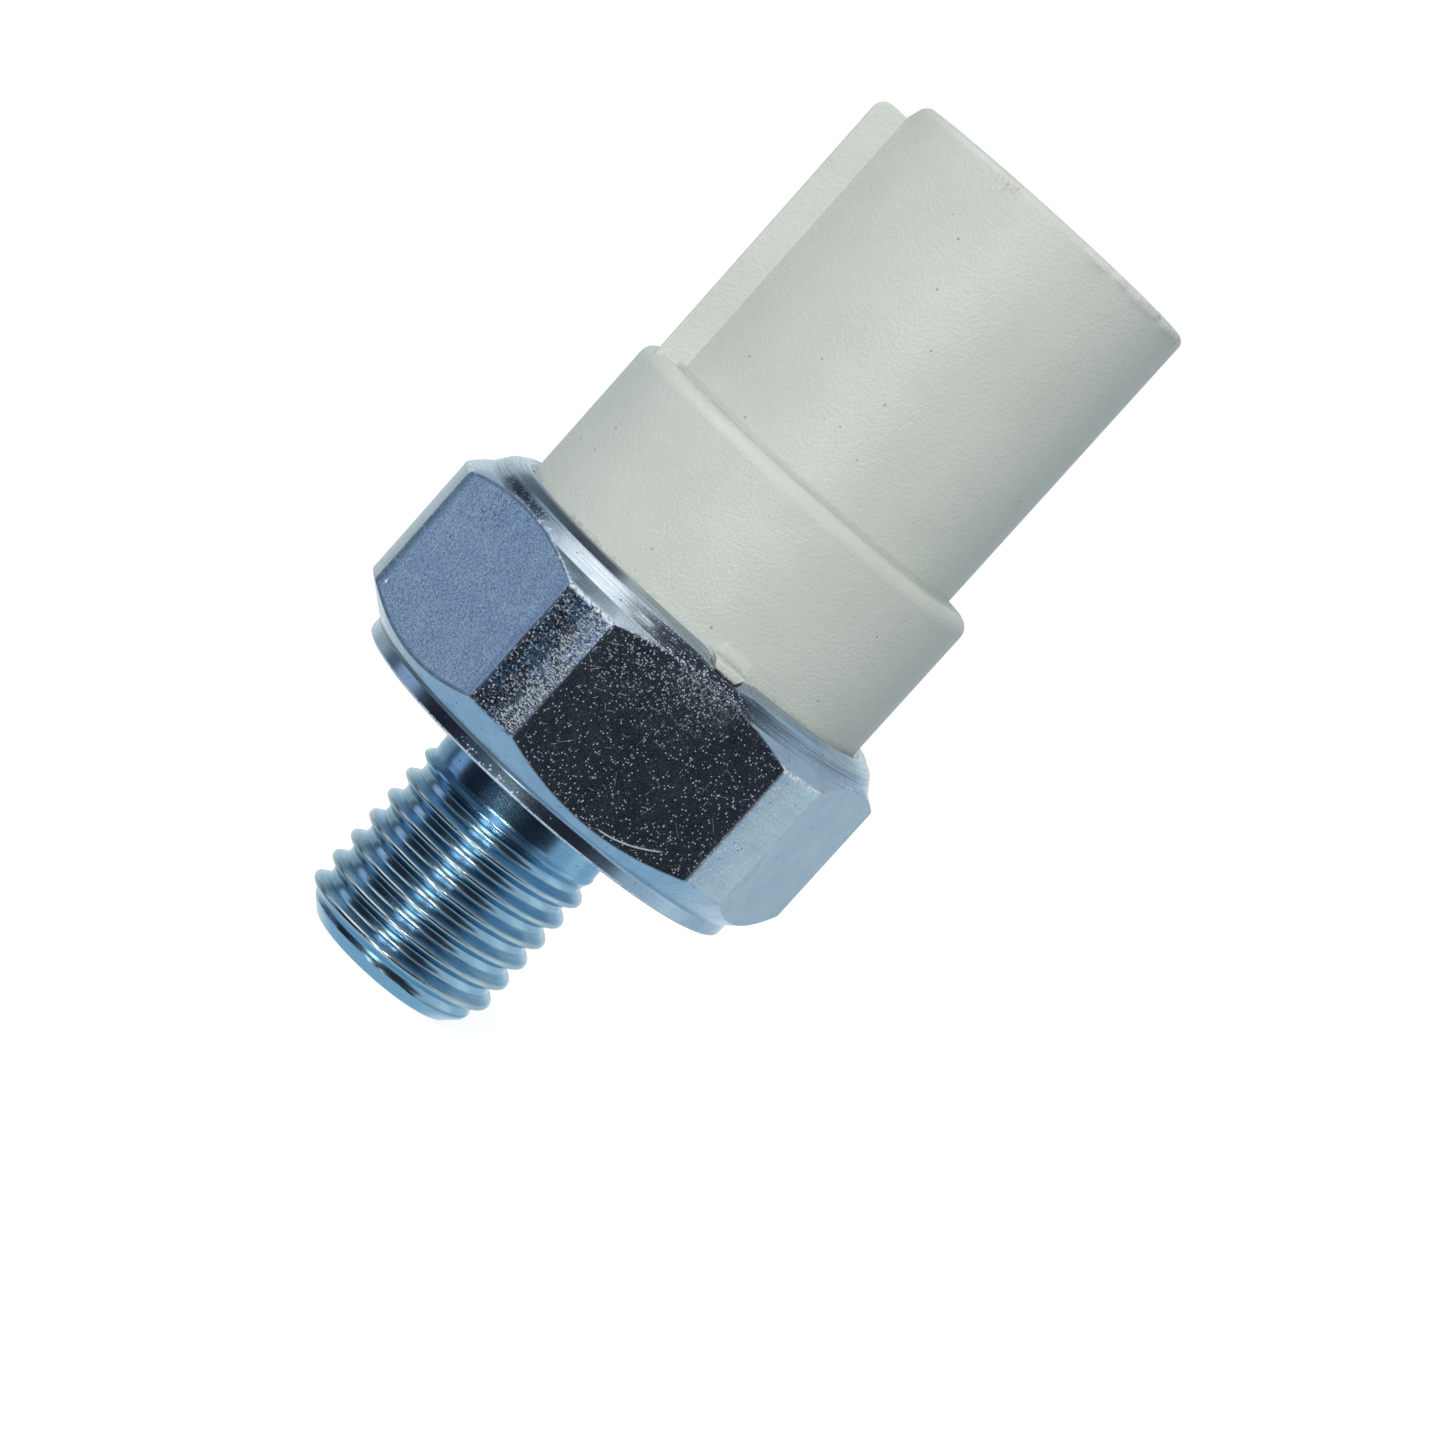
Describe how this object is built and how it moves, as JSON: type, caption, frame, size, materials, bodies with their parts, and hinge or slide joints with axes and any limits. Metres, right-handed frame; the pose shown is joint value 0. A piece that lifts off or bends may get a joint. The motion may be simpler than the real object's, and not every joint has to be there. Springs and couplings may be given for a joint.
{
  "type": "oil pressure sender",
  "caption": "Screw-in pressure switch: turned steel body with threaded stem, washer face and hexagon, crimped over a cream moulded plug hood with blade terminals.",
  "frame": {"origin": "on the sender's axis, in the plane of the washer face that seats on the engine", "axes": "+Z along the axis towards the open plug hood, -X towards the hood's latch side, -Y towards the side that the picture shows"},
  "size_m": [0.0238, 0.0236, 0.0446],
  "materials": {
    "zinc_steel": "blue-passivated zinc plate, satin to bright, with fine scratches",
    "cream_plastic": "cream moulded plastic with a soft pebbled sheen",
    "black_rubber": "matt",
    "amber_film": "smooth amber film",
    "plain_steel": "plain turned steel",
    "brown_laminate": "insulating moulding, matt",
    "contact_bronze": "rolled bronze strip",
    "silver_contact": "silver rivets, satin",
    "spring_wire": "drawn spring wire",
    "tinned_brass": "tin-plated brass strip, satin"
  },
  "bodies": {
    "sender": {"hex_body": "zinc_steel", "connector_housing": "cream_plastic", "seal_ring": "black_rubber", "housing_seal": "black_rubber", "diaphragm": "amber_film", "support_plate": "plain_steel", "contact_base": "brown_laminate", "spring_seat": "plain_steel", "contact_spring": "spring_wire", "fixed_contact_left": "silver_contact", "fixed_contact_right": "silver_contact", "terminal_left": "tinned_brass", "terminal_right": "tinned_brass"},
    "piston": {"pressure_piston": "plain_steel", "push_pin": "brown_laminate", "bridge_contact": "contact_bronze", "moving_contact_left": "silver_contact", "moving_contact_right": "silver_contact"}
  },
  "joints": [
    {"name": "piston_lift", "type": "slide", "parent": "sender", "child": "piston", "axis": [0, 0, 1], "range_m": [0, 0.0004], "stiffness_N_per_m": 800, "deforming": ["contact_spring"]}
  ]
}
